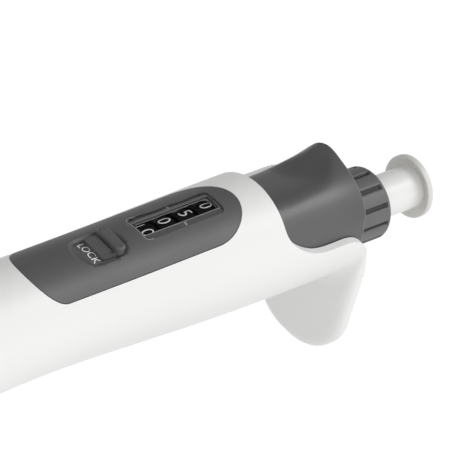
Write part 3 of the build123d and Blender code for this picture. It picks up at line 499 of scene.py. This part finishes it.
# The profile runs from the bore over the groove floors, round the rim and down into the well.
core_profile = [(ring_bore, ring_foot), (groove_floor, ring_foot), (groove_floor, ring_head - 0.0018),
                (0.00870, ring_head - 0.0014), (ring_outside, ring_head - 0.0011),
                (ring_outside, ring_head - rim_round)]
for step in range(1, 7):
    angle = math.radians(15 * step)
    core_profile.append((ring_outside - rim_round + rim_round * math.cos(angle),
                         ring_head - rim_round + rim_round * math.sin(angle)))
core_profile += [(well_wall, ring_head - 0.0001), (well_wall, well_floor), (ring_bore, well_floor)]


def lathe(name, profile, material, body, segments=192):
    """A closed profile of (radius, height) turned round the instrument's axis."""
    verts = []
    faces = []
    for step in range(segments):
        angle = 2 * math.pi * step / segments
        verts += [(r * math.cos(angle), r * math.sin(angle), z) for r, z in profile]
    count = len(profile)
    for step in range(segments):
        a, b = step * count, (step + 1) % segments * count
        faces += [(a + i, b + i, b + (i + 1) % count, a + (i + 1) % count) for i in range(count)]
    return solid_object(name, verts, faces, material, body)


# The groove floors take a darker grey than the ribs: painted shade in the grooves.
groove_painted_shade = moulded("grey_polyamide_groove_painted_shade", "#3E3E3F", 0.6, 0.45, 0.02, 0.05)
ring_core = lathe("volume_ring_core", core_profile, ring_polyamide, "ring")
ring_core.data.materials.append(groove_painted_shade)
# Faces on the groove floors take the painted shade.
for face in ring_core.data.polygons:
    from_axis = math.hypot(face.center.x, face.center.y)
    if 0.0084 < from_axis < 0.0088 and face.center.z < ring_head - 0.0013:
        face.material_index = 1

# One rib, raised on the core; the node tree sets it round the ring.  Its section is given in
# degrees round the ring and metres from the axis.
section = [(-11.6, 0.00850), (-11.5, 0.00890), (-11.1, 0.00915), (-10.3, ring_outside)]
section += [(angle, ring_outside) for angle in (-7.5, -5, -2.5, 0, 2.5, 5, 7.5)]
section += [(-angle, radius) for angle, radius in reversed(section[:4])]
section += [(angle, 0.00840) for angle in (11.6, 0, -11.6)]
rib_verts = []
for z in (ring_foot, ring_head - 0.0010):
    for angle, radius in section:
        turned = math.radians(angle)
        rib_verts.append((radius * math.cos(turned), radius * math.sin(turned), z))
count = len(section)
rib_faces = [(i, (i + 1) % count, count + (i + 1) % count, count + i) for i in range(count)]
rib_faces += [tuple(reversed(range(count))), tuple(range(count, 2 * count))]
rib_mesh = bpy.data.meshes.new("ring_rib")
rib_mesh.from_pydata(rib_verts, [], rib_faces)
rib_mesh.shade_smooth()
rib_mesh.set_sharp_from_angle(angle=math.radians(40))
rib = bpy.data.objects.new("ring_rib", rib_mesh)

tree = bpy.data.node_groups.new("ribs_round_a_ring", "GeometryNodeTree")
tree.interface.new_socket("Ribs", in_out="INPUT", socket_type="NodeSocketInt").default_value = 12
tree.interface.new_socket("First Angle", in_out="INPUT", socket_type="NodeSocketFloat").default_value = 0.0
tree.interface.new_socket("Rib", in_out="INPUT", socket_type="NodeSocketObject")
tree.interface.new_socket("Material", in_out="INPUT", socket_type="NodeSocketMaterial")
tree.interface.new_socket("Geometry", in_out="OUTPUT", socket_type="NodeSocketGeometry")
inlet = put(tree, "NodeGroupInput")
spots = put(tree, "GeometryNodeMeshLine", {"Count": inlet.outputs["Ribs"]})
spots.inputs["Offset"].default_value = (0, 0, 0)
shape_info = put(tree, "GeometryNodeObjectInfo", {"Object": inlet.outputs["Rib"]})
number = put(tree, "GeometryNodeInputIndex")
share = put(tree, "ShaderNodeMath", {0: number.outputs[0], 1: inlet.outputs["Ribs"]}, operation="DIVIDE")
swing = put(tree, "ShaderNodeMath", {0: share.outputs[0]}, operation="MULTIPLY")
swing.inputs[1].default_value = 2 * math.pi
start = put(tree, "ShaderNodeMath", {0: swing.outputs[0], 1: inlet.outputs["First Angle"]}, operation="ADD")
spin = put(tree, "ShaderNodeCombineXYZ", {"Z": start.outputs[0]})
ribs = put(tree, "GeometryNodeInstanceOnPoints", {"Points": spots.outputs[0],
                                                  "Instance": shape_info.outputs["Geometry"],
                                                  "Rotation": spin.outputs[0]})
real = put(tree, "GeometryNodeRealizeInstances", {0: ribs.outputs[0]})
dress = put(tree, "GeometryNodeSetMaterial", {"Geometry": real.outputs[0],
                                              "Material": inlet.outputs["Material"]})
put(tree, "NodeGroupOutput", {"Geometry": dress.outputs[0]})


def grown(name, tree, settings, body):
    """What a node tree makes, as a plain mesh object riding on one body."""
    holder = bpy.data.objects.new(name, bpy.data.meshes.new(name))
    bpy.context.scene.collection.objects.link(holder)
    modifier = holder.modifiers.new("nodes", "NODES")
    modifier.node_group = tree
    for item in tree.interface.items_tree:
        if item.in_out == "INPUT" and item.name in settings:
            modifier[item.identifier] = settings[item.name]
    holder.update_tag()
    bpy.context.view_layer.update()
    evaluated = holder.evaluated_get(bpy.context.evaluated_depsgraph_get())
    mesh = bpy.data.meshes.new_from_object(evaluated)
    holder.modifiers.clear()
    holder.data = mesh
    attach(holder, body)
    return holder


first_rib = math.radians(9)
ring_ribs = grown("volume_ring_ribs", tree, {"Ribs": 12, "First Angle": first_rib, "Rib": rib,
                                             "Material": ring_polyamide}, "ring")
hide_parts("volume_ring")
# Turned brass keeps the fine rings of the lathe.
turned_brass = ground_metal("turned_brass", "#C9A869", 0.28, 0.25, 0.004)
finish_with(turned_brass, "drive_sleeve", "lead_screw")


# Push button -----------------------------------------------------------------------------------
# A white acetal stem with a thumb flange, snapped on the steel rod.
# Moulded acetal has a satin skin; the thumb flange is a warmer white than the stem, and its darker tone is
# partly painted shade under the flange.
button_acetal = moulded("satin_white_acetal_stem", "#F3F3F2", 0.4, 0.5, 0.008, 0.02)
cap_acetal_and_painted_shade = moulded("satin_warm_white_acetal_cap_and_painted_shade", "#DFDEDA", 0.42, 0.5, 0.008, 0.02)
# The profile runs down the rod's bore, round the stem's foot, up the stem and over the flange.
button_profile = [(0.0, 0.2800), (0.00252, 0.2800), (0.00252, 0.2560), (0.0054, 0.2560),
                  (0.0054, 0.28885), (0.0058, 0.28895), (0.0064, 0.28880), (0.0070, 0.28845),
                  (0.0074, 0.28818), (0.0077, 0.28810), (0.0079, 0.28818), (0.0080, 0.28840),
                  (0.0080, 0.28950), (0.00793, 0.28970), (0.00775, 0.28984), (0.0070, 0.28992),
                  (0.0044, 0.28985), (0.0022, 0.28962), (0.0, 0.28950)]
button_piece = lathe("thumb_button", button_profile, button_acetal, "plunger")
button_piece.data.materials.append(cap_acetal_and_painted_shade)
# The flange's faces take the warmer white, darkened partly as painted shade.
for face in button_piece.data.polygons:
    past_stem = math.hypot(face.center.x, face.center.y) > 0.00542
    if face.center.z > 0.2881 and past_stem or face.center.z > 0.2893:
        face.material_index = 1
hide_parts("push_button")
# Turned PEEK is tan and faintly satin.
piston_polymer = moulded("turned_peek", "#C8B48C", 0.42, 0.3, 0.006, 0.04)
finish_with(piston_polymer, "piston")
# Moulded EPDM rubber is black and dull.
seal_rubber = moulded("black_moulded_epdm_rubber", "#17171A", 0.6, 0.3, 0.006, 0.1)
finish_with(seal_rubber, "piston_seal", "nozzle_ring")


# Tip ejector -----------------------------------------------------------------------------------
# A hood of satin grey ABS round the foot of the volume ring, with a scoop for the thumb.
# Its moulded skin is satin, so the soft box draws broad highlights on it.
ejector_abs = moulded("satin_grey_abs_hood", "#5D5D5E", 0.40, 0.5, 0.008, 0.04)
hood_axis_y, hood_head, hood_foot = -0.0042, 0.2608, 0.230
flank_radius, flank_rim, lip_stand = 0.0137, 0.0007, 0.0020
scoop_turned = math.radians(22)
ring_hole = 0.00955
hood_round, deck = 0.0008, 0.0020
hollow_head = 0.2506
scoop_floor, scoop_back = 0.0109, 0.0093


def hood_radius(angle, drop):
    """Radius of the hood from its own axis, at an angle from the front towards +X.

    drop is how far below the rim.  The flank flares and rises to a lip at the rim, and the
    scoop's flat is blended into it, more softly the lower it is.
    """
    turned = angle + scoop_turned
    clear = min(1.0, max(0.0, (math.radians(76) - abs(angle)) / math.radians(16)))
    clear = clear * clear * (3 - 2 * clear)
    flare = max(0.0, (0.0095 - drop) / 0.0087) ** 2
    lip = max(0.0, (0.0075 - drop) / 0.0067) ** 1.6 * math.exp(-(math.degrees(turned) / 19) ** 2)
    flank = flank_radius + flank_rim * flare * clear + lip_stand * lip
    if abs(turned) > math.radians(75):
        return flank
    near = min(1.0, max(0.0, (turned + math.radians(12)) / math.radians(38)))
    rise = max(0.0, (0.013 - drop) / 0.012) ** (1.8 + 1.7 * near * near * (3 - 2 * near))
    chord = (scoop_floor + 0.0056 * rise) / math.cos(turned)
    soft = 0.00022 + 0.0009 * min(1.0, drop / 0.02)
    return -soft * math.log(math.exp(-flank / soft) + math.exp(-chord / soft))


hood_rings = []
steps = 288
angles = [2 * math.pi * step / steps - math.pi for step in range(steps)]


def hood_ring(radius_at, z):
    """One ring of points round the hood, at a height."""
    hood_rings.append([(radius_at(a) * math.sin(a), hood_axis_y - radius_at(a) * math.cos(a), z)
                       for a in angles])


def inside(angle):
    """Radius of the hollow, flat behind the scoop."""
    turned = angle + scoop_turned
    flat = scoop_back / math.cos(turned) if abs(turned) < math.radians(70) else 1.0
    return min(0.0115, flat)


def hole(angle):
    """Distance from the hood's axis to the round hole for the volume ring."""
    half_chord = math.sqrt(ring_hole ** 2 - (hood_axis_y * math.sin(angle)) ** 2)
    return min(hood_axis_y * math.cos(angle) + half_chord, 0.01335)


def rim(angle):
    """Radius where the hood's flat top begins."""
    return hood_radius(angle, hood_round) - hood_round


# From the foot up the hollow, over the deck and the rim, and down the outside.
hood_ring(inside, hood_foot)
hood_ring(inside, hollow_head)
hood_ring(lambda a: max(inside(a), hole(a)), hollow_head + 0.0002)
hood_ring(lambda a: max(inside(a), hole(a)), hood_head - deck)
hood_ring(hole, hood_head - deck)
hood_ring(hole, hood_head - 0.0002)
hood_ring(lambda a: hole(a) + min(0.0002, 0.3 * (rim(a) - hole(a))), hood_head)
for share in (0.35, 0.7):
    hood_ring(lambda a: hole(a) + share * max(0.0, rim(a) - hole(a)), hood_head)
for step in range(7):
    lean = math.radians(15 * step)
    hood_ring(lambda a: max(hood_radius(a, hood_round) - hood_round * (1 - math.sin(lean)), hole(a)),
              hood_head - hood_round * (1 - math.cos(lean)))
outer_rows = 72
for row in range(1, outer_rows + 1):
    drop = hood_round + (hood_head - hood_foot - hood_round) * (row / outer_rows) ** 1.5
    hood_ring(lambda a: hood_radius(a, drop), hood_head - drop)
hood_verts = [point for ring in hood_rings for point in ring]
hood_faces = []
for row in range(len(hood_rings)):
    here, there = row * steps, (row + 1) % len(hood_rings) * steps
    hood_faces += [(here + i, here + (i + 1) % steps, there + (i + 1) % steps, there + i)
                   for i in range(steps)]
ejector_hood = solid_object("ejector_hood", hood_verts, hood_faces, ejector_abs, "ejector", sharp=50)
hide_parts("ejector_button")


# Springs ---------------------------------------------------------------------------------------
# Drawn stainless wire, coiled cold: a slightly duller metal than the ground pins.
spring_wire = ground_metal("drawn_spring_wire", "#A9A8A6", 0.33, 0.15, 0.003)
finish_with(spring_wire, "primary_spring", "blowout_spring", "ejector_spring")


# Barrel and nozzle -----------------------------------------------------------------------------
# Moulded in natural white PVDF, screwed into the socket; a porous filter sits in the nozzle.
# Unpigmented PVDF is a little darker than the grip, and smoother.
barrel_pvdf = moulded("satin_natural_pvdf", "#EDEDEA", 0.36, 0.6, 0.008, 0.02)
finish_with(barrel_pvdf, "barrel", "nozzle")
# Sintered polyethylene beads give a chalky, porous face.
sintered = moulded("sintered_polyethylene", "#F1F0EC", 0.8, 0.25, 0.05, 0.05)
finish_with(sintered, "filter_disc")
